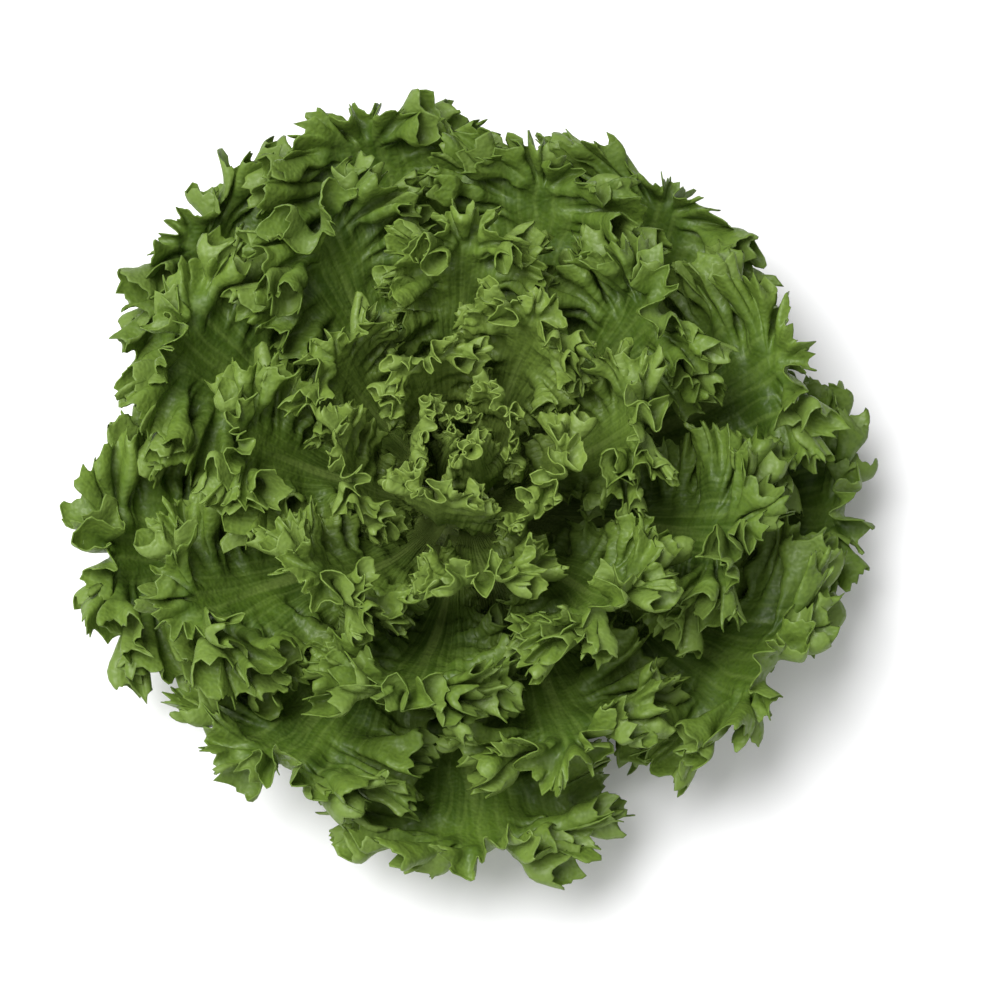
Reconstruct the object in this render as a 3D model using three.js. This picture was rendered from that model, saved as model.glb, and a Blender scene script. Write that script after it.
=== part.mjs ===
// A head of green leaf lettuce standing on its cut stem: a short stem and a spiral of frilled leaves.
// Millimetres, +Z up. The origin is the centre of the stem's flat cut face.
import * as THREE from "three";

// Driving dimensions of the head
const HEAD_RADIUS = 113; // stem axis to the outermost leaf tip
const HEAD_HEIGHT = 84; // cut face to the tips of the heart leaves
const OUTER_TIP_HEIGHT = 34; // tip of the lowest leaf
const HEART_RADIUS = 3; // stem axis to the tips of the heart leaves
const HEART_BELLY_REACH = 9; // the innermost leaf bulges out this far below its tip
const BELLY_REACH = 94; // the lowest leaf runs out this far before it turns up
const BELLY_HEIGHT = -4.5; // and is drawn down to the surface by this much
const HEART_BELLY_HEIGHT = 62; // the innermost leaf stays upright to here
const DOME_OUT = 95; // how far the line of leaf tips bulges outwards
const DOME_UP = 40; // and upwards
const LEAF_COUNT = 34;
const TURN = Math.PI * (3 - Math.sqrt(5)); // golden angle between one leaf and the next

// The stem: a cut cylinder that tapers between the leaf bases to the growing point
const CUT_RADIUS = 13;
const CUT_EDGE = 1; // small round at the edge of the cut
const NECK_HEIGHT = 5; // where the first leaf base sits
const STEM_HEIGHT = 33;
const STEM_TIP_RADIUS = 1.4;
const STEM_CROWN = 1; // how far the growing point rises above that
const STEM_SIDES = 32;

// Leaf blades
const BLADE = 1.2; // thickness, drawn full because a crisp blade stands off its neighbours
const RIB_OUTER = 4.6; // how far the midrib stands out under the base of the lowest leaf
const RIB_HEART = 1.2; // the same under the innermost leaf
const RIB_TAPER = 0.9; // share of that height that a midrib loses on its way to the tip
const RIB_HALF_WIDTH = 0.13; // share of the half width that the midrib takes
const FIRST_BASE = 2; // the lowest leaf base stands this far above the neck
const LAST_BASE = 1; // and the highest this far below the stem's top
const BASE_GAP = 1.7; // from the stem to the middle of a leaf base, which leaves the thick rib just clear
const BASE_HALF_TURN = 0.24; // half width of the leaf base, radians round the stem axis
const BLADE_HALF_TURN = 0.47; // half width of the blade at its widest
const HEART_HALF_TURN = 1.1; // the same for the innermost leaf, which wraps round the growing point
const WIDENING = [0.1, 0.95]; // stretch of each side over which base widens to blade
const WIDEST = 0.66; // where that is, as a share of the leaf's length
const TIP_FULLNESS = 0.72; // 1 gives the leaf tip the outline of an ellipse, less a broader fan
const FRILL = 0.08; // height of the margin's waves, as a share of the head's depth
const HEART_FRILL = 0.012; // the same for the innermost leaf
const HEART_START = 0.45; // depth at which leaves begin to take the heart's form
const FRILL_WAVES = 5; // waves along each side
const FRILL_GROWS = [0.12, 0.5]; // share of the length over which the waves grow in from the base
const TOOTH_DEPTH = 0.16; // how far the notches between the teeth cut in
const TOOTH_GROWS = [0.25, 0.6]; // share of the length over which the notches deepen
const SPINE_LAG = 0.94; // the midrib's rows lag behind the margin's
const SPINE_END = 0.86; // and the midrib stops short of the tip
const LENGTH_RANGE = [0.93, 1.03]; // leaves differ this much in length
const WIDTH_RANGE = [0.93, 1]; // and in width
const TWIST = 0.06; // and lean sideways, radians at the tip

// Lean and bulge of the whole head
const SWAY_START = 18; // radius at which it begins
const SWAY_FULL = 80; // and at which it is full
const SWAY = 3.5; // sideways
const SWAY_PACE = [34, 37]; // millimetres of y and x to each radian of the sway
const SWAY_PHASE = [0.7, 2.1];
const SAG = 2.5; // upwards, at most twice this
const SAG_PACE = [30, 41]; // millimetres of x and y to each radian of the bulge
const LONGER = 1.03; // the head is a little longer from back to front than across

// Mesh of one leaf: rows run from the midrib to the margin, round the leaf from base to tip to base
const SIDE_ROWS = 8; // rows below the widest place
const TIP_ROWS = 7; // rows round the tip
const ROWS = SIDE_ROWS + TIP_ROWS;
const COLUMNS = [0, RIB_HALF_WIDTH, 0.6, 1]; // shares of the half width

const LEAF_GREEN = new THREE.Color(0.27, 0.42, 0.11);
const HEART_GREEN = new THREE.Color(0.45, 0.58, 0.2);
const STEM_PALE = new THREE.Color(0.78, 0.82, 0.6);

const mix = THREE.MathUtils.lerp;
const smooth = (low, high, x) => THREE.MathUtils.smoothstep(x, low, high);

// A fixed draw from 0 to 1 for one leaf and one trait, so every run grows the same head.
function draw(leaf, trait) {
  const x = Math.sin(leaf * 12.9898 + trait * 78.233) * 43758.5453;
  return x - Math.floor(x);
}

// The stem's radius at a height.
function stemRadius(z) {
  const up = THREE.MathUtils.clamp((z - NECK_HEIGHT) / (STEM_HEIGHT - NECK_HEIGHT), 0, 1);
  return mix(CUT_RADIUS, STEM_TIP_RADIUS, up);
}

// The head is a nest of bowls. Depth 0 is the lowest, open bowl and depth 1 the upright heart; along
// runs from the stem, 0, to the leaf tip, 1. Bowls of different depth never cross, so neither do leaves.
function bowl(depth, along) {
  const baseHeight = mix(NECK_HEIGHT + FIRST_BASE, STEM_HEIGHT - LAST_BASE, depth);
  const base = [stemRadius(baseHeight - RIB_OUTER) + BASE_GAP, baseHeight];
  const belly = [mix(BELLY_REACH, HEART_BELLY_REACH, depth), mix(BELLY_HEIGHT, HEART_BELLY_HEIGHT, depth)];
  const dome = depth * (1 - depth);
  const tip = [
    mix(HEAD_RADIUS, HEART_RADIUS, depth) + DOME_OUT * dome * (1 - depth),
    mix(OUTER_TIP_HEIGHT, HEAD_HEIGHT, depth) + DOME_UP * dome,
  ];
  const rest = 1 - along;
  const at = (i) => rest * rest * base[i] + 2 * rest * along * belly[i] + along * along * tip[i];
  const slope = (i) => 2 * rest * (belly[i] - base[i]) + 2 * along * (tip[i] - belly[i]);
  const length = Math.hypot(slope(0), slope(1));
  return { r: at(0), z: at(1), upR: -slope(1) / length, upZ: slope(0) / length };
}

// The whole head leans and bulges a little, so that it isn't turned as on a lathe.
function settle(point) {
  const reach = smooth(SWAY_START, SWAY_FULL, Math.hypot(point.x, point.y));
  point.x += SWAY * reach * Math.sin(point.y / SWAY_PACE[0] + SWAY_PHASE[0]);
  point.y += SWAY * reach * Math.sin(point.x / SWAY_PACE[1] + SWAY_PHASE[1]);
  point.z += SAG * reach * (1 + Math.sin(point.x / SAG_PACE[0] - point.y / SAG_PACE[1]));
  point.y *= LONGER;
  return point;
}

// Where row and column of a leaf lie: [share of the half turn, share of the length].
function outline(row, column) {
  const side = Math.min(row, SIDE_ROWS) / SIDE_ROWS;
  const round = (Math.max(row - SIDE_ROWS, 0) / TIP_ROWS) * (Math.PI / 2);
  const marginAlong = WIDEST * side + (1 - WIDEST) * Math.sin(round) ** TIP_FULLNESS;
  const spineAlong = SPINE_LAG * WIDEST * side + (SPINE_END - SPINE_LAG * WIDEST) * Math.sin(round);
  const narrow = BASE_HALF_TURN / BLADE_HALF_TURN;
  const marginWidth = mix(narrow, 1, smooth(...WIDENING, side)) * Math.cos(round) ** TIP_FULLNESS;
  const notch = row % 2 ? 1 - TOOTH_DEPTH * smooth(...TOOTH_GROWS, marginAlong) : 1;
  const reach = COLUMNS[column] * (column === COLUMNS.length - 1 ? notch : 1);
  return [marginWidth * reach, mix(spineAlong, marginAlong, reach)];
}

// The upper and lower point of the blade at a row and column, on side -1 (left) or 1 (right).
function bladePoints(leaf, row, column, side) {
  const depth = leaf / (LEAF_COUNT - 1);
  const [width, share] = outline(row, column);
  const across = COLUMNS[column];
  const heart = smooth(HEART_START, 1, depth);
  const along = share * mix(...LENGTH_RANGE, draw(leaf, 1));
  const halfTurn = mix(BLADE_HALF_TURN, HEART_HALF_TURN, heart * heart) * mix(...WIDTH_RANGE, draw(leaf, 2));
  const twist = TWIST * (2 * draw(leaf, 3) - 1) * along * along;
  const phase = 2 * Math.PI * draw(leaf, side > 0 ? 4 : 5);
  const ruffle = Math.sin((2 * Math.PI * FRILL_WAVES * row) / ROWS + phase);
  const wave = mix(FRILL, HEART_FRILL, heart) * across * across * smooth(...FRILL_GROWS, share) * ruffle;
  const { r, z, upR, upZ } = bowl(depth + wave, along);
  const turn = leaf * TURN + twist + side * halfTurn * width;
  const rib = column === 0 ? mix(RIB_OUTER, RIB_HEART, depth) * (1 - RIB_TAPER * share) : 0;
  const offset = (h) =>
    settle(
      new THREE.Vector3(
        (r + upR * h) * Math.cos(turn),
        (r + upR * h) * Math.sin(turn),
        z + upZ * h,
      ),
    );
  return { upper: offset(BLADE / 2), lower: offset(-BLADE / 2 - rib) };
}

// One leaf as a closed blade: two faces split alike, joined along the margin and the base.
function leafGeometry(leaf) {
  const last = COLUMNS.length - 1;
  const rowCount = 2 * ROWS + 1;
  const grid = [];
  for (let i = 0; i < rowCount; i++) {
    const row = i <= ROWS ? i : 2 * ROWS - i;
    const side = i <= ROWS ? -1 : 1;
    grid.push(COLUMNS.map((_, column) => bladePoints(leaf, row, column, side)));
  }
  const corners = [];
  const triangle = (a, b, c) => corners.push(a, b, c);
  const faceBoth = (a, b, c) => {
    triangle(a.upper, b.upper, c.upper);
    triangle(a.lower, c.lower, b.lower);
  };
  const wall = (a, b) => {
    triangle(a.upper, a.lower, b.lower);
    triangle(a.upper, b.lower, b.upper);
  };
  for (let i = 0; i < rowCount - 1; i++) {
    for (let c = 0; c < last; c++) {
      faceBoth(grid[i][c], grid[i][c + 1], grid[i + 1][c + 1]);
      faceBoth(grid[i][c], grid[i + 1][c + 1], grid[i + 1][c]);
    }
    wall(grid[i][last], grid[i + 1][last]);
  }
  for (let c = 0; c < last; c++) {
    wall(grid[0][c], grid[0][c + 1]);
    wall(grid[rowCount - 1][c + 1], grid[rowCount - 1][c]);
  }
  return new THREE.BufferGeometry().setFromPoints(corners);
}

function leafMesh(leaf) {
  const heart = smooth(HEART_START, 1, leaf / (LEAF_COUNT - 1));
  const material = new THREE.MeshStandardMaterial({
    color: LEAF_GREEN.clone().lerp(HEART_GREEN, heart),
    roughness: 0.5,
    metalness: 0,
  });
  const mesh = new THREE.Mesh(leafGeometry(leaf), material);
  mesh.name = `leaf_${String(leaf + 1).padStart(2, "0")}`;
  return mesh;
}

function stemMesh() {
  const profile = [
    new THREE.Vector2(0, 0),
    new THREE.Vector2(CUT_RADIUS - CUT_EDGE, 0),
    new THREE.Vector2(CUT_RADIUS, CUT_EDGE),
    new THREE.Vector2(CUT_RADIUS, NECK_HEIGHT),
    new THREE.Vector2(STEM_TIP_RADIUS, STEM_HEIGHT),
    new THREE.Vector2(0, STEM_HEIGHT + STEM_CROWN),
  ];
  const geometry = new THREE.LatheGeometry(profile, STEM_SIDES).rotateX(Math.PI / 2);
  const material = new THREE.MeshStandardMaterial({ color: STEM_PALE, roughness: 0.6, metalness: 0 });
  const mesh = new THREE.Mesh(geometry, material);
  mesh.name = "stem";
  return mesh;
}

const head = new THREE.Group();
head.add(stemMesh());
for (let leaf = 0; leaf < LEAF_COUNT; leaf++) head.add(leafMesh(leaf));

export default head;
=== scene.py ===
# %% [markdown]
# # A head of green leaf lettuce
# The head is a short cut stem with a spiral of frilled leaves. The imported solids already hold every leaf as
# a plain waved blade. This script grows a finer leaf in the place of each one, with the small ruffles,
# teeth, veins and colours of a fresh leaf, and a finer stem. It starts by loading the solids as the frame.

# %% Load the frame
import math

import bmesh
import bpy
import numpy as np
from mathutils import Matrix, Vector


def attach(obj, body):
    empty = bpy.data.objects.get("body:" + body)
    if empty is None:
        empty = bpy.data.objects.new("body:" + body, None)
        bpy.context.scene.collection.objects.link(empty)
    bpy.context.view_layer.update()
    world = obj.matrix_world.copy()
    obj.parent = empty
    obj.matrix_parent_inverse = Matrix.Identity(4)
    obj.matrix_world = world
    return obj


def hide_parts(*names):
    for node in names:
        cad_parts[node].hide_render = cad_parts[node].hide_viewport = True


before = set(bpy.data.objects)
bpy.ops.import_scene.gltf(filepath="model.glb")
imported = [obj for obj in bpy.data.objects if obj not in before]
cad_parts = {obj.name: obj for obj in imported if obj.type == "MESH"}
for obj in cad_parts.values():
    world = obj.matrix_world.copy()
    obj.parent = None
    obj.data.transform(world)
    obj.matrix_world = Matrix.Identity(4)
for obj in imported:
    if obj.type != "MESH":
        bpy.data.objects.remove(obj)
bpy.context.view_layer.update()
leaf_nodes = sorted(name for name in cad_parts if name.startswith("leaf_"))
LAST_LEAF = len(leaf_nodes) - 1

# %% [markdown]
# ## Camera
# The photograph looks down on the leaves from the near side, so the camera stands high on the -Y side.
# It could be turned with three angles of its own. Pointing it along a line to its aim is easier to change,
# and the lights use the same aim. The aim is a little to one side of the head's middle, to leave the same
# margins as the photograph.

# %% Camera
CAMERA_ELEVATION = math.radians(72)
CAMERA_DISTANCE = 0.78
CAMERA_LENS = 100.0
AIM = Vector((0.011, -0.008, 0.042))


def add_object(name, data):
    """Links a new object into the scene, at the origin."""
    made = bpy.data.objects.new(name, data)
    bpy.context.scene.collection.objects.link(made)
    return made


def face_aim(thing):
    """Turns a camera or a light towards the aim."""
    thing.rotation_euler = (AIM - thing.location).to_track_quat("-Z", "Y").to_euler()


camera = add_object("camera", bpy.data.cameras.new("camera"))
camera.data.lens = CAMERA_LENS
back = Vector((0, -math.cos(CAMERA_ELEVATION), math.sin(CAMERA_ELEVATION)))
camera.location = AIM + CAMERA_DISTANCE * back
face_aim(camera)
bpy.context.scene.camera = camera
print("camera at", tuple(round(x, 3) for x in camera.location))

# %% [markdown]
# ## Soft lights
# A product photograph on white has one broad soft light from above, here at the left, and a weaker one in
# front. Small lamps would need many copies to look soft. Two large discs give the soft shadow at once.

# %% Soft lights
LIGHT_SIZE = 1.0
KEY_PLACE = Vector((-0.48, 0.12, 1.22))
KEY_POWER = 26
FILL_PLACE = Vector((-0.25, -1.0, 0.9))
FILL_POWER = 5


def add_soft_light(name, place, power):
    data = bpy.data.lights.new(name, "AREA")
    data.shape = "DISK"
    data.size = LIGHT_SIZE
    data.energy = power
    light = add_object(name, data)
    light.location = place
    face_aim(light)
    print(name, "light of", power, "W at", tuple(round(x, 2) for x in place))


add_soft_light("key", KEY_PLACE, KEY_POWER)
add_soft_light("fill", FILL_PLACE, FILL_POWER)

# %% [markdown]
# ## Floor and sky
# The head rests on a plain pale sheet, which throws light back into the shadows. A plain white sky fills
# the darkest folds, and the standard view shows the greens as they are set.

# %% Floor and sky
FLOOR_SIZE = 6.0
FLOOR_WHITE = (0.9, 0.9, 0.91, 1)
FLOOR_ROUGHNESS = 0.7
SKY_WHITE = (1, 1, 1, 1)
SKY_STRENGTH = 0.38


def new_material(name):
    material = bpy.data.materials.new(name)
    material.use_nodes = True
    return material


def mesh_object(bm, name, *materials):
    """Makes an object of a finished bmesh, with smooth shading."""
    mesh = bpy.data.meshes.new(name)
    bm.to_mesh(mesh)
    bm.free()
    mesh.polygons.foreach_set("use_smooth", [True] * len(mesh.polygons))
    for material in materials:
        mesh.materials.append(material)
    return add_object(name, mesh)


floor_finish = new_material("pale_floor")
floor_shader = floor_finish.node_tree.nodes["Principled BSDF"]
floor_shader.inputs["Base Color"].default_value = FLOOR_WHITE
floor_shader.inputs["Roughness"].default_value = FLOOR_ROUGHNESS
floor_mesh = bmesh.new()
bmesh.ops.create_grid(floor_mesh, x_segments=1, y_segments=1, size=FLOOR_SIZE / 2)
mesh_object(floor_mesh, "floor", floor_finish)

sky = bpy.data.worlds.new("studio")
sky.use_nodes = True
sky_light = sky.node_tree.nodes["Background"]
sky_light.inputs["Color"].default_value = SKY_WHITE
sky_light.inputs["Strength"].default_value = SKY_STRENGTH
bpy.context.scene.world = sky
bpy.context.scene.view_settings.view_transform = "Standard"
print("floor of", FLOOR_SIZE, "m under a white sky of strength", SKY_STRENGTH)

# %% [markdown]
# ## A nest of bowls
# The leaves of a head lie in one another like a nest of bowls: depth 0 is the lowest, open bowl and depth 1
# the upright heart. Each bowl is one curve from the stem to the tip, drawn out to a belly on its way.
# Leaves bent by hand would run through each other, while these bowls never cross. The same dimensions shape
# the solids, so a leaf made from them lands in its solid's place. Whole arrays of points are moved at once,
# which keeps thousands of points quick.

# %% Nest of bowls
HEAD_RADIUS = 0.113
HEAD_HEIGHT = 0.084
OUTER_TIP_HEIGHT = 0.034
HEART_RADIUS = 0.003
BELLY_REACH = 0.094
HEART_BELLY_REACH = 0.009
BELLY_HEIGHT = -0.0045
HEART_BELLY_HEIGHT = 0.062
DOME_OUT = 0.095
DOME_UP = 0.040
CUT_RADIUS = 0.013
NECK_HEIGHT = 0.005
STEM_HEIGHT = 0.033
STEM_TIP_RADIUS = 0.0014
LOWEST_BASE = NECK_HEIGHT + 0.002
HIGHEST_BASE = STEM_HEIGHT - 0.001
RIB_OUTER = 0.0046
BASE_GAP = 0.0017
MM = 1000


def mix(a, b, t):
    return a + (b - a) * t


def smooth(low, high, x):
    """A soft step from 0, where x is low, to 1, where it is high."""
    t = np.clip((x - low) / (high - low), 0, 1)
    return t * t * (3 - 2 * t)


def stem_radius(z):
    up = np.clip((z - NECK_HEIGHT) / (STEM_HEIGHT - NECK_HEIGHT), 0, 1)
    return mix(CUT_RADIUS, STEM_TIP_RADIUS, up)


def bowl(depth, along):
    """Radius and height on a bowl, along from the stem, 0, to the tip, 1."""
    base_z = mix(LOWEST_BASE, HIGHEST_BASE, depth)
    base_r = stem_radius(base_z - RIB_OUTER) + BASE_GAP
    belly_r = mix(BELLY_REACH, HEART_BELLY_REACH, depth)
    belly_z = mix(BELLY_HEIGHT, HEART_BELLY_HEIGHT, depth)
    dome = depth * (1 - depth)
    tip_r = mix(HEAD_RADIUS, HEART_RADIUS, depth) + DOME_OUT * dome * (1 - depth)
    tip_z = mix(OUTER_TIP_HEIGHT, HEAD_HEIGHT, depth) + DOME_UP * dome
    rest = 1 - along
    r = rest**2 * base_r + 2 * rest * along * belly_r + along**2 * tip_r
    z = rest**2 * base_z + 2 * rest * along * belly_z + along**2 * tip_z
    return r, z


for depth in (0, 0.5, 1):
    r, z = bowl(depth, 1)
    print(f"rim of the bowl at depth {depth}: {MM * r:.0f} mm out and {MM * z:.0f} mm up")

# %% [markdown]
# ## A head that has settled
# No head is quite round once it lies in a crate. Slow waves over the whole head push its outer part sideways
# and lift it, and leave the stem alone. Each leaf could be bent by itself, but one move for all of them
# bends the room between the leaves as well, so none is pushed into the next.

# %% Settled head
SWAY_START = 0.018
SWAY_FULL = 0.080
SWAY = 0.0035
SWAY_PACE_X = 0.034
SWAY_PHASE_X = 0.7
SWAY_PACE_Y = 0.037
SWAY_PHASE_Y = 2.1
SAG = 0.0025
SAG_PACE_X = 0.030
SAG_PACE_Y = 0.041
LONGER = 1.03
RING_STEPS = 90


def settle(points):
    x, y, z = points[..., 0], points[..., 1], points[..., 2]
    reach = smooth(SWAY_START, SWAY_FULL, np.hypot(x, y))
    x = x + SWAY * reach * np.sin(y / SWAY_PACE_X + SWAY_PHASE_X)
    y = y + SWAY * reach * np.sin(x / SWAY_PACE_Y + SWAY_PHASE_Y)
    z = z + SAG * reach * (1 + np.sin(x / SAG_PACE_X - y / SAG_PACE_Y))
    return np.stack([x, LONGER * y, z], axis=-1)


turns = np.linspace(0, 2 * math.pi, RING_STEPS)
ring = HEAD_RADIUS * np.stack([np.cos(turns), np.sin(turns), 0 * turns], axis=-1)
moves = MM * np.linalg.norm(settle(ring) - ring, axis=-1)
print(f"settling moves the rim by {moves.min():.1f} to {moves.max():.1f} mm")

# %% [markdown]
# ## The outline of a leaf
# A leaf starts as a flat grid. One way of the grid goes round the leaf, from the base up one side to the tip
# and down the other; the other way goes from the midrib out to the margin, as the side veins do. A grid laid
# straight across would meet the margin at a slant and tear the ruffles. The fan says how far to the side a
# point is, on lines that spread out from the base.

# %% Leaf outline
BASE_HALF_TURN = 0.24
BLADE_HALF_TURN = 0.47
WIDENING = (0.1, 0.95)
WIDEST = 0.66
TIP_FULLNESS = 0.72
SIDE_SHARE = 8 / 15
SPINE_LAG = 0.94
SPINE_END = 0.86
FAN_START = 0.35


def leaf_outline(quarter, across):
    """Share of the half turn and of the length; quarter runs from base, 0, to tip, 1."""
    side = np.clip(quarter / SIDE_SHARE, 0, 1)
    bend = np.clip((quarter - SIDE_SHARE) / (1 - SIDE_SHARE), 0, 1) * math.pi / 2
    margin_along = WIDEST * side + (1 - WIDEST) * np.sin(bend) ** TIP_FULLNESS
    spine_along = SPINE_LAG * WIDEST * side + (SPINE_END - SPINE_LAG * WIDEST) * np.sin(bend)
    narrow = BASE_HALF_TURN / BLADE_HALF_TURN
    margin_width = mix(narrow, 1, smooth(*WIDENING, side)) * np.abs(np.cos(bend)) ** TIP_FULLNESS
    return margin_width * across, mix(spine_along, margin_along, across)


def fan(around, across):
    """Place across the fan of veins; around runs from -1, left of the base, past the tip, 0, to 1."""
    width, share = leaf_outline(1 - np.abs(around), across)
    return np.sign(around) * width / (FAN_START + share)


for quarter in (0, SIDE_SHARE, 1):
    width, share = leaf_outline(quarter, 1)
    print(f"margin at {share:.2f} of the length: {width:.2f} of the full width")

# %% [markdown]
# ## A leaf on its bowl
# The outline is bent onto the bowl of its leaf, with the broad waves that the solid has. Each leaf stands a
# golden angle on from the one before, as on a growing stem, so that no leaf grows straight over another. The
# leaves could be shaped one by one, but a fixed draw for each leaf and trait varies them all and gives the
# same head on every run. The youngest tips are drawn in over the middle, where they still close.

# %% Leaf on its bowl
TURN = math.pi * (3 - math.sqrt(5))
HEART_START = 0.45
HEART_HALF_TURN = 1.1
LENGTH_RANGE = (0.93, 1.03)
WIDTH_RANGE = (0.93, 1)
TWIST = 0.06
FRILL = 0.08
HEART_FRILL = 0.012
FRILL_WAVES = 5
FRILL_LENGTH = (0.12, 0.5)
TIP_BLEND = (-0.12, 0.12)
GATHER = 0.55
GATHER_START = 0.050
GATHER_REACH = 0.030
LENGTH_TRAIT, WIDTH_TRAIT, TWIST_TRAIT, RIGHT_TRAIT, LEFT_TRAIT = 1, 2, 3, 4, 5
LEAF_STRIDE = 12.9898
TRAIT_STRIDE = 78.233
DRAW_SPREAD = 43758.5453


def draw(leaf, trait):
    """A fixed draw from 0 to 1 for one leaf and one trait, the same as for the solids."""
    x = math.sin(leaf * LEAF_STRIDE + trait * TRAIT_STRIDE) * DRAW_SPREAD
    return x - math.floor(x)


def leaf_depth(leaf):
    return leaf / LAST_LEAF


def gather(r, z):
    """Draws points near the axis further in, the higher they are."""
    high = smooth(GATHER_START, HEAD_HEIGHT, z)
    return r * (1 - GATHER * high * (1 - smooth(0, GATHER_REACH, r)))


def broad_blade(leaf, around, across):
    """Points of a leaf on its bowl, and their share of its length."""
    depth = leaf_depth(leaf)
    heart = smooth(HEART_START, 1, depth)
    width, share = leaf_outline(1 - np.abs(around), across)
    along = share * mix(*LENGTH_RANGE, draw(leaf, LENGTH_TRAIT))
    half_turn = mix(BLADE_HALF_TURN, HEART_HALF_TURN, heart**2)
    half_turn = half_turn * mix(*WIDTH_RANGE, draw(leaf, WIDTH_TRAIT))
    twist = TWIST * (2 * draw(leaf, TWIST_TRAIT) - 1) * along**2
    left = np.sin(2 * math.pi * (FRILL_WAVES * (1 + around) + draw(leaf, LEFT_TRAIT)))
    right = np.sin(2 * math.pi * (FRILL_WAVES * (1 - around) + draw(leaf, RIGHT_TRAIT)))
    ruffle = mix(left, right, smooth(*TIP_BLEND, around))
    wave = mix(FRILL, HEART_FRILL, heart) * across**2 * smooth(*FRILL_LENGTH, share) * ruffle
    r, z = bowl(depth + wave, along)
    r = gather(r, z)
    turn = leaf * TURN + twist + np.sign(around) * half_turn * width
    points = np.stack([r * np.cos(turn), r * np.sin(turn), z], axis=-1)
    return settle(points), share


print(f"each leaf stands {math.degrees(TURN):.1f} degrees on from the one before")

# %% [markdown]
# ## How long a margin is
# A growing margin is much longer than the blade inside it. Its length is measured along a narrow strip of
# points at the edge, first for the plain blade and later again for the ruffled and the toothed one.

# %% Margin length
TRIAL_ROWS = 1500
EDGE_STRIP = (0.95, 1.0)


def margin_distance(points):
    """Distance run along the margin, in metres, for each step round the leaf."""
    steps = np.linalg.norm(np.diff(points[:, -1], axis=0), axis=-1)
    return np.concatenate([[0], np.cumsum(steps)])[:, None]


def margin_run(blade, leaf):
    """Distance run along a leaf's margin, where blade is the function that places its points."""
    trial = np.linspace(-1, 1, 2 * TRIAL_ROWS + 1)
    around, across = np.meshgrid(trial, EDGE_STRIP, indexing="ij")
    return margin_distance(blade(leaf, around, across)[0])[:, 0]


def report_margins(kind, blade):
    outer, inner = (MM * margin_run(blade, leaf)[-1] for leaf in (0, LAST_LEAF))
    print(f"{kind} margin: {outer:.0f} mm on the first leaf and {inner:.0f} mm on the last")


report_margins("plain", broad_blade)

# %% [markdown]
# ## Waves that are never quite alike
# On a real leaf no two ruffles match. A plain sine would look knitted, and random points would look torn.
# So a wave runs on along the margin with an uneven pace, and the swells between the veins are a sum of a few
# plane waves in seeded directions. Leaves of the heart are smaller and calmer than the outer ones.

# %% Uneven waves
ANY_PHASE = 6.3
SLOW_DRIFT = (1.3, 4.7)
QUICK_DRIFT = (0.9, 2.3)
SWELL_WAVES = 9
SWELL_LENGTHS = (0.7, 1.5)
HEART_SCALE = 0.6
HEART_CALM = 0.5
TINY = 1e-9


def unit(vectors):
    return vectors / np.maximum(np.linalg.norm(vectors, axis=-1, keepdims=True), TINY)


def wander(distance, length, leaf, trait):
    """A phase that runs on with distance, with an uneven pace."""
    pace = 2 * math.pi * distance / length
    (slow, slow_pace), (quick, quick_pace) = SLOW_DRIFT, QUICK_DRIFT
    uneven = slow * np.sin(pace / slow_pace + ANY_PHASE * draw(leaf, trait))
    uneven = uneven + quick * np.sin(pace / quick_pace + ANY_PHASE * draw(leaf, trait + 1))
    return pace + uneven + ANY_PHASE * draw(leaf, trait + 2)


def swells(points, length, seed):
    """A soft uneven swell over space, mostly from -1 to 1."""
    rng = np.random.default_rng(seed)
    total = 0
    for _ in range(SWELL_WAVES):
        way = unit(rng.normal(size=3))
        pace = 2 * math.pi / (length * rng.uniform(*SWELL_LENGTHS))
        total = total + np.sin(points @ way * pace + rng.uniform(0, 2 * math.pi))
    return total / math.sqrt(SWELL_WAVES)


def leaf_scale(leaf):
    return mix(1, HEART_SCALE, leaf_depth(leaf))


def leaf_calm(leaf):
    """Less of a ruffle and shorter teeth on the tight leaves of the heart."""
    return mix(1, HEART_CALM, smooth(HEART_START, 1, leaf_depth(leaf)))


print(f"waves on the last leaf: {leaf_scale(LAST_LEAF):.2f} as long, {leaf_calm(LAST_LEAF):.2f} as strong")

# %% [markdown]
# ## Puckers between the veins
# Inside its margin a blade is not flat: it folds along the main veins and bulges between them. A bump in the
# finish would vanish at the outline, so these are true heights, added to the blade with the ruffles later.

# %% Puckers
PUCKER_LENGTH = 0.009
PUCKER_HEIGHT = 0.0016
PUCKER_ACROSS = (0.06, 0.3)
PUCKER_ALONG = (0.1, 0.3)
PUCKER_SEED = 40
PUCKER_SHARE = 0.6
FOLDS = 4
FOLD_SHARE = 0.6
SAMPLE_ROWS = 200
SAMPLE_COLUMNS = 20


def puckers(leaf, points, around, across, share):
    """Height of the folds along the veins and of the bulges between them."""
    size = leaf_scale(leaf)
    inside = smooth(*PUCKER_ACROSS, across) * smooth(*PUCKER_ALONG, share)
    folds = np.sin(math.pi * FOLDS * fan(around, across)) ** 2
    bulges = swells(points, PUCKER_LENGTH * size, PUCKER_SEED + leaf)
    return PUCKER_HEIGHT * size * inside * (FOLD_SHARE * folds + PUCKER_SHARE * bulges)


sample_places = (np.linspace(-1, 1, SAMPLE_ROWS), np.linspace(0, 1, SAMPLE_COLUMNS))
sample = np.meshgrid(*sample_places, indexing="ij")
sample_points, sample_share = broad_blade(0, *sample)
heights = MM * puckers(0, sample_points, *sample, sample_share)
print(f"puckers on the first leaf: {heights.min():.1f} to {heights.max():.1f} mm")

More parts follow.
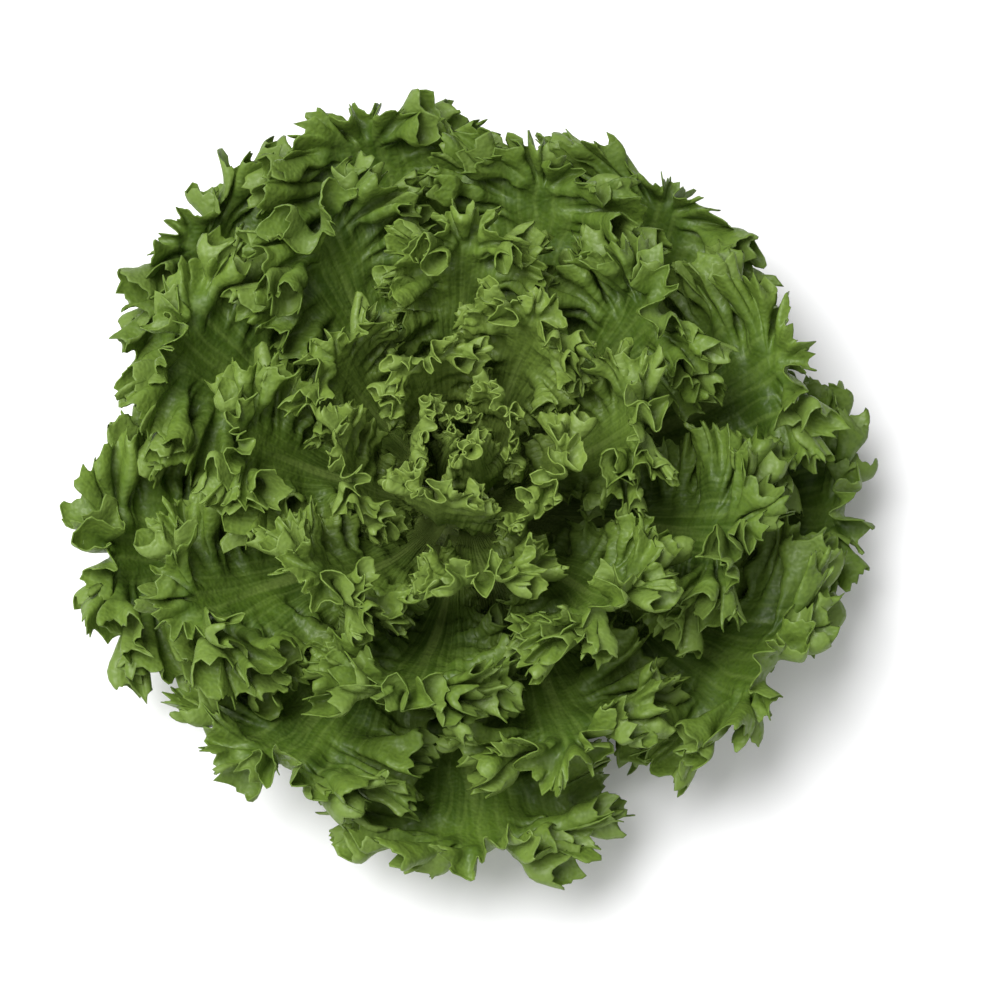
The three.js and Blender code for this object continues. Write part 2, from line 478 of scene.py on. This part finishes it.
# %% [markdown]
# ## Ruffles
# A lettuce margin grows faster than the blade inside it, so it buckles into ruffles that swing up, down and
# over, and each ruffle carries smaller curls. A displacement out of the blade alone could never overhang. So
# the margin moves in three directions: out of the blade, along the edge and back inwards. The move along
# the edge at twice the rate pinches each ruffle at its foot.

# %% Ruffles
RUFFLE_LENGTH = 0.0155
RUFFLE_RANGE = (0.9, 1.35)
RUFFLE_HEIGHT = 0.0062
RUFFLE_BAND = (0.14, 0.97)
RUFFLE_BUILD = 1.2
SWELL_MEAN = 0.8
SWELL_VARIETY = 0.35
SWELL_PACE = 3.1
OVERHANG = 0.45
PULL_BACK = 0.5
CURL_LENGTH = 0.0062
CURL_HEIGHT = 0.0025
CURL_BAND = (0.50, 1.0)
CURL_BUILD = 1.3
FREE_LENGTH = (0.14, 0.42)
RUFFLE_TRAIT, SWELL_TRAIT, CURL_TRAIT, RUFFLE_SIZE_TRAIT = 11, 17, 21, 61


def blade_axes(points):
    """Unit ways along the edge, out to the margin and up from the blade, at every point of a grid."""
    edge = unit(np.gradient(points, axis=0))
    out = unit(np.gradient(points, axis=1))
    return edge, out, unit(np.cross(out, edge))


def ruffled_blade(leaf, around, across):
    points, share = broad_blade(leaf, around, across)
    edge, out, up = blade_axes(points)
    distance = margin_distance(points)
    size = leaf_scale(leaf)
    free = smooth(*FREE_LENGTH, share)
    ruffle_length = RUFFLE_LENGTH * mix(*RUFFLE_RANGE, draw(leaf, RUFFLE_SIZE_TRAIT))
    ruffle = wander(distance, ruffle_length * size, leaf, RUFFLE_TRAIT)
    variety = np.sin(ruffle / SWELL_PACE + ANY_PHASE * draw(leaf, SWELL_TRAIT))
    band = smooth(*RUFFLE_BAND, across) ** RUFFLE_BUILD * free
    swell = band * (SWELL_MEAN + SWELL_VARIETY * variety)
    curl = wander(distance, CURL_LENGTH * size, leaf, CURL_TRAIT)
    lip = smooth(*CURL_BAND, across) ** CURL_BUILD * free
    height = RUFFLE_HEIGHT * size * leaf_calm(leaf)
    rise = height * swell * np.sin(ruffle) + CURL_HEIGHT * size * lip * np.sin(curl)
    rise = rise + puckers(leaf, points, around, across, share)
    slide = -OVERHANG * height * swell * np.sin(2 * ruffle)
    pull = -PULL_BACK * height * swell * np.sin(ruffle) ** 2
    moved = points + up * rise[..., None] + edge * slide[..., None] + out * pull[..., None]
    return moved, share


report_margins("ruffled", ruffled_blade)

# %% [markdown]
# ## Lobes and teeth
# The margin of a curly lettuce is cut into lobes, and each lobe has small sharp teeth with hollow sides.
# Cutting them out of the grid would leave ragged faces, so the points near the edge move out and in instead.
# They are spaced by the length of the ruffled margin itself, so that teeth stay the same size in every fold.
# No point may sink to the floor, which only the cut face of the stem touches.

# %% Lobes and teeth
LOBE_LENGTH = 0.0105
LOBE_HEIGHT = 0.0040
LOBE_HOLLOW = 0.35
TOOTH_LENGTH = 0.0042
TOOTH_HEIGHT = 0.0017
TOOTH_HOLLOW = 0.3
TOOTH_BAND = (0.70, 1.0)
TOOTH_BUILD = 1.6
SHARPNESS = 1.3
LOWEST = 0.0015
LOBE_TRAIT, TOOTH_TRAIT = 31, 41


def points_out(phase):
    """Sharp teeth with hollow sides, 0 to 1, one for each turn of the phase."""
    return (1 - np.abs(np.sin(phase / 2))) ** SHARPNESS


def toothed_blade(leaf, around, across):
    points, share = ruffled_blade(leaf, around, across)
    out = blade_axes(points)[1]
    distance = margin_distance(points)
    size = leaf_scale(leaf)
    lobes = points_out(wander(distance, LOBE_LENGTH * size, leaf, LOBE_TRAIT)) - LOBE_HOLLOW
    teeth = points_out(wander(distance, TOOTH_LENGTH * size, leaf, TOOTH_TRAIT)) - TOOTH_HOLLOW
    rim = smooth(*TOOTH_BAND, across) ** TOOTH_BUILD * smooth(*FREE_LENGTH, share)
    reach = size * leaf_calm(leaf) * rim * (LOBE_HEIGHT * lobes + TOOTH_HEIGHT * teeth)
    points = points + out * reach[..., None]
    points[..., 2] = np.maximum(points[..., 2], LOWEST)
    return points, share


report_margins("toothed", toothed_blade)

# %% [markdown]
# ## Helpers for shader nodes
# A finish is a small network of shader nodes. It could be wired in the editor by hand. Here a few short
# helpers add a node, feed its sockets and give back its output, so that a finish reads like a sum. Both
# faces of a leaf get a material of their own, since the underside of a leaf is paler.

# %% Node helpers
MIX_SHARE, MIX_A, MIX_B = 0, 6, 7
MIX_COLOUR = 2


def add_node(tree, kind, **settings):
    made = tree.nodes.new("ShaderNode" + kind)
    for key, value in settings.items():
        setattr(made, key, value)
    return made


def feed(tree, socket, value):
    """Links a socket, or sets it where the value is a plain number or colour."""
    if isinstance(value, bpy.types.NodeSocket):
        tree.links.new(value, socket)
    else:
        socket.default_value = value


def calc(tree, operation, a, b):
    made = add_node(tree, "Math", operation=operation)
    feed(tree, made.inputs[0], a)
    feed(tree, made.inputs[1], b)
    return made.outputs[0]


def ramp(tree, value, span, ends=(0.0, 1.0)):
    """A soft step over a span of the value, from one end to the other."""
    made = add_node(tree, "MapRange", interpolation_type="SMOOTHSTEP")
    names = ("Value", "From Min", "From Max", "To Min", "To Max")
    for name, given in zip(names, (value, *span, *ends)):
        feed(tree, made.inputs[name], given)
    return made.outputs[0]


def fade(tree, value, span):
    """A soft step down, from 1 to 0."""
    return ramp(tree, value, span, ends=(1.0, 0.0))


def tint(tree, share, a, b):
    """A colour between a and b, through the colour sockets of a Mix node."""
    made = add_node(tree, "Mix", data_type="RGBA")
    feed(tree, made.inputs[MIX_SHARE], share)
    feed(tree, made.inputs[MIX_A], a)
    feed(tree, made.inputs[MIX_B], b)
    return made.outputs[MIX_COLOUR]


def noise(tree, place, scale, detail):
    made = add_node(tree, "TexNoise")
    feed(tree, made.inputs["Vector"], place)
    made.inputs["Scale"].default_value = scale
    made.inputs["Detail"].default_value = detail
    return made.outputs["Fac"]


leaf_green = new_material("leaf_green")
leaf_under = new_material("leaf_under")
print("faces of a leaf:", leaf_green.name, "above and", leaf_under.name, "below")

# %% [markdown]
# ## Veins, fibres and midrib
# A leaf has a pale midrib, veins that fan out from the base and fine fibres between them. Every leaf carries
# a map named blade: one way of it crosses the fan and the other runs along the leaf. A pattern cast from
# above would slide over the folds; lines drawn on this map follow the leaf through every ruffle.

# %% Veins, fibres and midrib
VEINS = 9
VEIN_STRAY = 1.3
VEIN_GAP = (0.0, 0.5)
VEIN_WIDTH = (0.0, 0.25)
VEIN_ENDS = (0.3, 0.9)
FIBRES = 26
FIBRE_BREAKS = 4
FIBRE_SCALE = 1.0
FIBRE_EDGE = (0.35, 0.75)
RIB_LENGTH = (0.0, 0.95)
RIB_WIDTHS = (0.17, 0.015)
RIB_EDGE = (0.45, 1.0)
RIB_ENDS = (0.40, 0.82)
SOFT_DETAIL = 1.0


def vein_gaps(tree, spread, cloud):
    """0 on a vein and 1 half way to the next, with veins that stray a little."""
    stray = calc(tree, "MULTIPLY", cloud, VEIN_STRAY)
    lines = calc(tree, "ADD", calc(tree, "MULTIPLY", spread, VEINS), stray)
    return ramp(tree, calc(tree, "PINGPONG", lines, VEIN_GAP[1]), VEIN_GAP)


def fibres(tree, spread, length, tone):
    """Fine lines along the fan: a noise that is drawn out along the leaf."""
    stretched = add_node(tree, "CombineXYZ")
    paces = ((spread, FIBRES), (length, FIBRE_BREAKS), (tone, FIBRES))
    for socket, (value, pace) in zip(stretched.inputs, paces):
        feed(tree, socket, calc(tree, "MULTIPLY", value, pace))
    return ramp(tree, noise(tree, stretched.outputs[0], FIBRE_SCALE, SOFT_DETAIL), FIBRE_EDGE)


def midrib(tree, across, length):
    """A band along the middle that narrows and fades towards the tip."""
    width = ramp(tree, length, RIB_LENGTH, RIB_WIDTHS)
    band = fade(tree, calc(tree, "DIVIDE", across, width), RIB_EDGE)
    return calc(tree, "MULTIPLY", band, fade(tree, length, RIB_ENDS))


print("in one unit of the fan:", VEINS, "veins and about", FIBRES, "fibres")

# %% [markdown]
# ## Where things are on a leaf
# A leaf is paler at its base, fresher at its margin and mottled in between. Mottling, blisters and grain
# have no direction, so they are plain textures in space. Each becomes a mask, a share from 0 to 1 that says
# where a colour or a relief goes. With all masks named in one place, colour and relief can share them.

# %% Leaf masks
MARGIN_BAND = (0.35, 1.0)
FRESHNESS = (0.45, 0.85)
BASE_BAND = (0.04, 0.34)
CLOUD_SCALE = 60
MOTTLE_EDGE = (0.3, 0.7)
BLISTER_SCALE = 260
GRAIN_SCALE = 900
SPECKLE_EDGE = (0.45, 0.70)
NO_DETAIL = 0.0
WHOLE = (0.0, 1.0)


def attribute(tree, name):
    return add_node(tree, "Attribute", attribute_name=name).outputs["Fac"]


def leaf_masks(tree):
    split = add_node(tree, "SeparateXYZ")
    feed(tree, split.inputs[0], add_node(tree, "UVMap", uv_map="blade").outputs[0])
    spread, length = split.outputs[0], split.outputs[1]
    space = add_node(tree, "TexCoord").outputs["Object"]
    across = attribute(tree, "across")
    tone = attribute(tree, "tone")
    cloud = noise(tree, space, CLOUD_SCALE, SOFT_DETAIL)
    grain = noise(tree, space, GRAIN_SCALE, NO_DETAIL)
    gaps = vein_gaps(tree, spread, cloud)
    fresh = ramp(tree, tone, WHOLE, FRESHNESS)
    return {
        "tone": tone,
        "young": attribute(tree, "young"),
        "gaps": gaps,
        "vein": calc(tree, "MULTIPLY", fade(tree, gaps, VEIN_WIDTH), fade(tree, across, VEIN_ENDS)),
        "fibre": fibres(tree, spread, length, tone),
        "rib": midrib(tree, across, length),
        "margin": calc(tree, "MULTIPLY", ramp(tree, across, MARGIN_BAND), fresh),
        "base": fade(tree, length, BASE_BAND),
        "mottle": ramp(tree, cloud, MOTTLE_EDGE),
        "blister": noise(tree, space, BLISTER_SCALE, SOFT_DETAIL),
        "grain": grain,
        "speckle": ramp(tree, grain, SPECKLE_EDGE),
    }


top_masks = leaf_masks(leaf_green.node_tree)
under_masks = leaf_masks(leaf_under.node_tree)
print("masks on each face:", ", ".join(top_masks))

# %% [markdown]
# ## The greens of a leaf
# The blade is mottled between two greens. Over it come the fresher margin, the light green of young leaves,
# the fibres and veins, dark specks, and the pale midrib and base. One painted picture could hold all this,
# but layers of plain colour stay sharp at any distance and are easy to tune one at a time.

# %% Leaf colours
DEEP_GREEN = (0.043, 0.090, 0.008, 1)
BLADE_GREEN = (0.114, 0.197, 0.021, 1)
MARGIN_GREEN = (0.182, 0.280, 0.041, 1)
HEART_GREEN = (0.250, 0.345, 0.066, 1)
VEIN_GREEN = (0.226, 0.332, 0.068, 1)
RIB_PALE = (0.228, 0.328, 0.068, 1)
BASE_PALE = (0.270, 0.370, 0.082, 1)
UNDER_PALE = (0.192, 0.282, 0.058, 1)
UNDER_SHARE = 0.45
MOTTLE_SHARE = 0.6
TONE_SHARE = 0.4
LAYERS = (
    ("margin", 1.0, MARGIN_GREEN),
    ("young", 0.75, HEART_GREEN),
    ("fibre", 0.26, VEIN_GREEN),
    ("vein", 0.25, VEIN_GREEN),
    ("speckle", 0.22, DEEP_GREEN),
    ("rib", 0.85, RIB_PALE),
    ("base", 0.9, BASE_PALE),
)


def leaf_colour(tree, masks):
    mottled = calc(tree, "MULTIPLY", masks["mottle"], MOTTLE_SHARE)
    patch = calc(tree, "ADD", mottled, calc(tree, "MULTIPLY", masks["tone"], TONE_SHARE))
    colour = tint(tree, patch, DEEP_GREEN, BLADE_GREEN)
    for name, share, green in LAYERS:
        colour = tint(tree, calc(tree, "MULTIPLY", masks[name], share), colour, green)
    return colour


top_colour = leaf_colour(leaf_green.node_tree, top_masks)
under_colour = leaf_colour(leaf_under.node_tree, under_masks)
under_colour = tint(leaf_under.node_tree, UNDER_SHARE, under_colour, UNDER_PALE)
print("colour layers over the blade:", ", ".join(name for name, _, _ in LAYERS))

# %% [markdown]
# ## The surface of a leaf
# A fresh leaf has a thin wax that gives a soft, uneven shine, and small blisters between its veins. They are
# far too small for the mesh, so a bump carries them. Some light passes a thin blade, and a translucent share
# gives that more cheaply than true scattering inside so thin a sheet.

# %% Leaf surface
RELIEF = (("gaps", 0.5), ("fibre", 0.25), ("blister", 1.6), ("grain", 0.7))
RELIEF_STRENGTH = 0.6
RELIEF_DEPTH = 0.0005
WAX_EDGE = (0.3, 0.7)
WAX_ROUGHNESS = (0.40, 0.58)
WAX_SPECULAR = 0.36
TRANSLUCENT_SHARE = 0.25


def bump(tree, height, strength, depth):
    made = add_node(tree, "Bump")
    made.inputs["Strength"].default_value = strength
    made.inputs["Distance"].default_value = depth
    feed(tree, made.inputs["Height"], height)
    return made.outputs[0]


def leaf_surface(material, masks, colour):
    tree = material.node_tree
    height = 0.0
    for name, share in RELIEF:
        height = calc(tree, "ADD", height, calc(tree, "MULTIPLY", masks[name], share))
    normal = bump(tree, height, RELIEF_STRENGTH, RELIEF_DEPTH)
    surface = tree.nodes["Principled BSDF"]
    feed(tree, surface.inputs["Base Color"], colour)
    feed(tree, surface.inputs["Roughness"], ramp(tree, masks["grain"], WAX_EDGE, WAX_ROUGHNESS))
    feed(tree, surface.inputs["Normal"], normal)
    surface.inputs["Specular IOR Level"].default_value = WAX_SPECULAR
    through = add_node(tree, "BsdfTranslucent")
    feed(tree, through.inputs["Color"], colour)
    feed(tree, through.inputs["Normal"], normal)
    both = add_node(tree, "MixShader")
    both.inputs[0].default_value = TRANSLUCENT_SHARE
    tree.links.new(surface.outputs[0], both.inputs[1])
    tree.links.new(through.outputs[0], both.inputs[2])
    tree.links.new(both.outputs[0], tree.nodes["Material Output"].inputs["Surface"])
    print(material.name, "has", len(tree.nodes), "nodes")


leaf_surface(leaf_green, top_masks, top_colour)
leaf_surface(leaf_under, under_masks, under_colour)

# %% [markdown]
# ## Rows of a leaf
# The ruffles need many points at the margin, and more of them where the margin is longer. Even rows would
# leave the tightest folds coarse, so the rows are spaced by the length of the ruffled margin. Both sides of
# a leaf use the same spacing, because they share the midrib.

# %% Rows of a leaf
ROW_STEP = 0.0003
EVENNESS = 0.8
OUTER_MARGIN = 0.29
HEART_MARGIN = 0.12
COARSE_STEP = 4


def even_rows(leaf):
    """Places round the leaf, closer together where ruffles make the margin longer, alike on both sides."""
    margin = mix(OUTER_MARGIN, HEART_MARGIN, leaf_depth(leaf))
    half = COARSE_STEP * round(margin / ROW_STEP / (2 * COARSE_STEP))
    length = margin_run(ruffled_blade, leaf)
    both = (length + (length[-1] - length)[::-1])[: TRIAL_ROWS + 1]
    quarter = np.linspace(0, 1, TRIAL_ROWS + 1)
    pace = mix(quarter, both / both[-1], EVENNESS)
    rows = np.interp(np.linspace(0, 1, half + 1), pace, quarter)
    return np.concatenate([rows - 1, (1 - rows)[-2::-1]])


for leaf in (0, LAST_LEAF):
    print("rows round leaf", leaf + 1, "are", len(even_rows(leaf)))

# %% [markdown]
# ## A flat leaf
# The grid operator makes the faces. Away from the margin the blade is smooth, so rows are taken out there by
# dissolving edges: three of four by the midrib and one of two further out. This keeps the faces for the
# ruffles, which decide how the leaf looks.

# %% Flat leaf
COLUMNS = 16
COARSE_COLUMNS = 6
MIDDLE_COLUMNS = 11
MIDDLE_STEP = 2


def grid_place(vert, last_row):
    """Row and column of a point while the grid is still flat."""
    return round((vert.co.x + 1) / 2 * last_row), round((vert.co.y + 1) / 2 * COLUMNS)


def row_step(column):
    """How many rows apart the kept rows are, from this column to the next."""
    if column < COARSE_COLUMNS:
        return COARSE_STEP
    return MIDDLE_STEP if column < MIDDLE_COLUMNS else 1


def flat_leaf(last_row):
    bm = bmesh.new()
    bmesh.ops.create_grid(bm, x_segments=last_row, y_segments=COLUMNS, size=1)
    spare = []
    for line in bm.edges:
        (row, column), (other_row, other_column) = (grid_place(v, last_row) for v in line.verts)
        if row == other_row and row % row_step(min(column, other_column)):
            spare.append(line)
    bmesh.ops.dissolve_edges(bm, edges=spare, use_verts=True, use_face_split=False)
    return bm


trial_leaf = flat_leaf(len(even_rows(0)) - 1)
print("faces of the first leaf while it is flat:", len(trial_leaf.faces))
trial_leaf.free()

# %% [markdown]
# ## From grid to leaf
# The flat points are moved onto the leaf, each with its place on the map and three attributes for the
# finish. A vertex group says how much of the full thickness a point takes, thin at the margin and thick at
# the midrib. Modelling the underside by hand would double the work, and a modifier can read the group.

# %% Points of a leaf
BLADE_THICKNESS = 0.0006
MARGIN_THICKNESS = 0.00035
RIB_HEART = 0.0012
RIB_WIDTH = 0.07
RIB_TAPER = 0.9
COLUMN_CROWDING = 1.35
TONE_TRAIT = 51
TONE_RISE = 1.5
TONE_BY_DEPTH = 0.4


def leaf_traits(bm, leaf):
    """Writes the attributes that are the same all over one leaf."""
    depth = leaf_depth(leaf)
    youth = smooth(HEART_START, 1, depth)
    shade = mix(draw(leaf, TONE_TRAIT), min(1, TONE_RISE * depth), TONE_BY_DEPTH)
    young = bm.verts.layers.float.new("young")
    tone = bm.verts.layers.float.new("tone")
    for vert in bm.verts:
        vert[young] = youth
        vert[tone] = shade


def place_points(bm, leaf, rows):
    """Moves the flat points onto the leaf with their map and weights, and returns the full thickness."""
    columns = 1 - (1 - np.linspace(0, 1, COLUMNS + 1)) ** COLUMN_CROWDING
    around, across = np.meshgrid(rows, columns, indexing="ij")
    points, share = toothed_blade(leaf, around, across)
    spread = fan(around, across)
    rib = mix(RIB_OUTER, RIB_HEART, leaf_depth(leaf))
    blade_map = bm.loops.layers.uv.new("blade")
    weights = bm.verts.layers.deform.verify()
    out_layer = bm.verts.layers.float.new("across")
    for vert in bm.verts:
        place = grid_place(vert, len(rows) - 1)
        out = across[place]
        vert.co = points[place]
        vert[out_layer] = out
        ridge = math.exp(-((out / RIB_WIDTH) ** 2)) * (1 - RIB_TAPER * share[place])
        blade = mix(BLADE_THICKNESS, MARGIN_THICKNESS, out)
        vert[weights][0] = (blade + rib * ridge) / (BLADE_THICKNESS + rib)
        for loop in vert.link_loops:
            loop[blade_map].uv = (spread[place], share[place])
    return BLADE_THICKNESS + rib


print(f"blade {MM * BLADE_THICKNESS:.2f} mm thick inside and {MM * MARGIN_THICKNESS:.2f} mm at the margin")

# %% [markdown]
# ## Grow the leaves
# One loop grows every leaf in the order of the spiral. The doubled points along the midrib are merged, the
# faces are turned to look up, and Solidify gives the blade its thickness downwards. Each piece rides on the
# head's one body, stands in for its solid, and has two slots: one finish for the upper face and one for the
# underside that Solidify adds.

# %% Grow the leaves
MERGE_DISTANCE = 1e-6


def leaf_piece(leaf):
    rows = even_rows(leaf)
    bm = flat_leaf(len(rows) - 1)
    thickness = place_points(bm, leaf, rows)
    leaf_traits(bm, leaf)
    bmesh.ops.remove_doubles(bm, verts=bm.verts, dist=MERGE_DISTANCE)
    bmesh.ops.reverse_faces(bm, faces=bm.faces)
    piece = mesh_object(bm, f"lettuce_leaf_{leaf + 1:02d}", leaf_green, leaf_under)
    piece.vertex_groups.new(name="thickness")
    solid = piece.modifiers.new("thickness", "SOLIDIFY")
    solid.thickness = thickness
    solid.offset = -1
    solid.vertex_group = "thickness"
    solid.use_rim = True
    solid.material_offset = 1
    return piece


faces = 0
for leaf, node in enumerate(leaf_nodes):
    piece = leaf_piece(leaf)
    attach(piece, "root")
    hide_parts(node)
    faces += len(piece.data.polygons)
print("leaves grown:", len(leaf_nodes), "faces before thickness:", faces)

# %% [markdown]
# ## Rings of the stem
# The stem is hidden among the leaves from above, and its cut face shows from below: a pale disc with a ring
# of bundles. All of it lies in rings, so the finish reads the distance from the axis. The bundles themselves
# are spots, and an irregular net spaces them better than dots in rows would.

# %% Rings of the stem
BUNDLE_SCALE = 520
BUNDLE_EDGE = (0.1, 0.4)
RING_START = (0.55, 0.72)
RING_END = (0.78, 0.92)
FLAT = (1, 1, 0)


def net(tree, place, scale):
    """Distance to the nearest line of an irregular net, as a share of its mesh."""
    made = add_node(tree, "TexVoronoi", feature="DISTANCE_TO_EDGE")
    feed(tree, made.inputs["Vector"], place)
    made.inputs["Scale"].default_value = scale
    return made.outputs["Distance"]


def axis_distance(tree, space):
    """Distance from the axis as a share of the cut face's radius."""
    flat = add_node(tree, "VectorMath", operation="MULTIPLY")
    feed(tree, flat.inputs[0], space)
    flat.inputs[1].default_value = FLAT
    out = add_node(tree, "VectorMath", operation="LENGTH")
    feed(tree, out.inputs[0], flat.outputs[0])
    return calc(tree, "DIVIDE", out.outputs["Value"], CUT_RADIUS)


ring_low, ring_high = (MM * CUT_RADIUS * share for share in (RING_START[0], RING_END[1]))
print(f"ring of bundles from {ring_low:.1f} to {ring_high:.1f} mm off the axis")

# %% [markdown]
# ## The finish of the stem
# Pith, bundles and rind are plain colours laid over one another ring by ring. The knife left the cut face to
# the air, so brown stains lie over it, more of them towards the edge. The height tells the cut face from the
# side, which is all rind.

# %% Stem finish
CUT_EDGE = 0.001
PITH = (0.640, 0.690, 0.420, 1)
BUNDLES = (0.430, 0.520, 0.210, 1)
BROWNED = (0.330, 0.180, 0.070, 1)
RIND = (0.290, 0.390, 0.100, 1)
RIND_START = (0.86, 0.97)
STAIN_SCALE = 160
STAIN_DETAIL = 5.0
STAIN_EDGE = (0.45, 0.75)
STAIN_SHARE = 0.45
RUST_START = (0.75, 1.0)
RUST_SHARES = (0.0, 0.35)
STEM_GRAIN_SCALE = 700
STEM_GRAIN_DETAIL = 3.0
STEM_RELIEF_STRENGTH = 0.7
STEM_RELIEF_DEPTH = 0.0005
STEM_ROUGHNESS = (0.40, 0.62)


def stem_material():
    material = new_material("stem_pale")
    tree = material.node_tree
    space = add_node(tree, "TexCoord").outputs["Object"]
    split = add_node(tree, "SeparateXYZ")
    feed(tree, split.inputs[0], space)
    side = ramp(tree, split.outputs["Z"], (0.0, CUT_EDGE))
    radius = axis_distance(tree, space)
    spots = ramp(tree, net(tree, space, BUNDLE_SCALE), BUNDLE_EDGE)
    ring = calc(tree, "MULTIPLY", ramp(tree, radius, RING_START), fade(tree, radius, RING_END))
    colour = tint(tree, calc(tree, "MULTIPLY", ring, spots), PITH, BUNDLES)
    colour = tint(tree, calc(tree, "MAXIMUM", ramp(tree, radius, RIND_START), side), colour, RIND)
    stain = ramp(tree, noise(tree, space, STAIN_SCALE, STAIN_DETAIL), STAIN_EDGE)
    stained = calc(tree, "MULTIPLY", stain, STAIN_SHARE)
    rust = calc(tree, "ADD", stained, ramp(tree, radius, RUST_START, RUST_SHARES))
    cut_face = calc(tree, "SUBTRACT", 1.0, side)
    colour = tint(tree, calc(tree, "MULTIPLY", rust, cut_face), colour, BROWNED)
    grain = noise(tree, space, STEM_GRAIN_SCALE, STEM_GRAIN_DETAIL)
    height = calc(tree, "ADD", grain, spots)
    surface = tree.nodes["Principled BSDF"]
    feed(tree, surface.inputs["Base Color"], colour)
    feed(tree, surface.inputs["Roughness"], ramp(tree, stain, WHOLE, STEM_ROUGHNESS))
    feed(tree, surface.inputs["Normal"], bump(tree, height, STEM_RELIEF_STRENGTH, STEM_RELIEF_DEPTH))
    return material


stem_pale = stem_material()
print(stem_pale.name, "has", len(stem_pale.node_tree.nodes), "nodes")

# %% [markdown]
# ## The stem
# The stem is a short cone with a flat cut end. A cylinder could be tapered to it, but a profile spun round
# the axis holds the small bevel at the cut as well. A soft swell then roughens the side, where leaves broke
# away.

# %% Stem piece
PITH_RADIUS = CUT_RADIUS * 0.5
STEM_STEPS = 72
STEM_RINGS = 12
STEM_LUMP = 0.00025
LUMP_LENGTH = 0.007
LUMP_SEED = 7


def stem_piece():
    profile = [(0, 0), (PITH_RADIUS, 0), (CUT_RADIUS - CUT_EDGE, 0), (CUT_RADIUS, CUT_EDGE)]
    profile += [(stem_radius(z), z) for z in np.linspace(NECK_HEIGHT, STEM_HEIGHT, STEM_RINGS)]
    profile.append((0, STEM_HEIGHT + STEM_TIP_RADIUS / 2))
    bm = bmesh.new()
    verts = [bm.verts.new((r, 0, z)) for r, z in profile]
    edges = [bm.edges.new(pair) for pair in zip(verts, verts[1:])]
    bmesh.ops.spin(
        bm, geom=verts + edges, cent=(0, 0, 0), axis=(0, 0, 1), angle=2 * math.pi,
        steps=STEM_STEPS, use_merge=True,
    )
    bmesh.ops.remove_doubles(bm, verts=bm.verts, dist=MERGE_DISTANCE)
    bmesh.ops.recalc_face_normals(bm, faces=bm.faces)
    lumps = swells(np.array([v.co for v in bm.verts]), LUMP_LENGTH, LUMP_SEED)
    for vert, lump in zip(bm.verts, lumps):
        side = smooth(0.0, NECK_HEIGHT, vert.co.z)
        vert.co += vert.normal * float(STEM_LUMP * side * lump)
    return mesh_object(bm, "lettuce_stem", stem_pale)


stem = stem_piece()
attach(stem, "root")
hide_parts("stem")
print("stem faces:", len(stem.data.polygons))
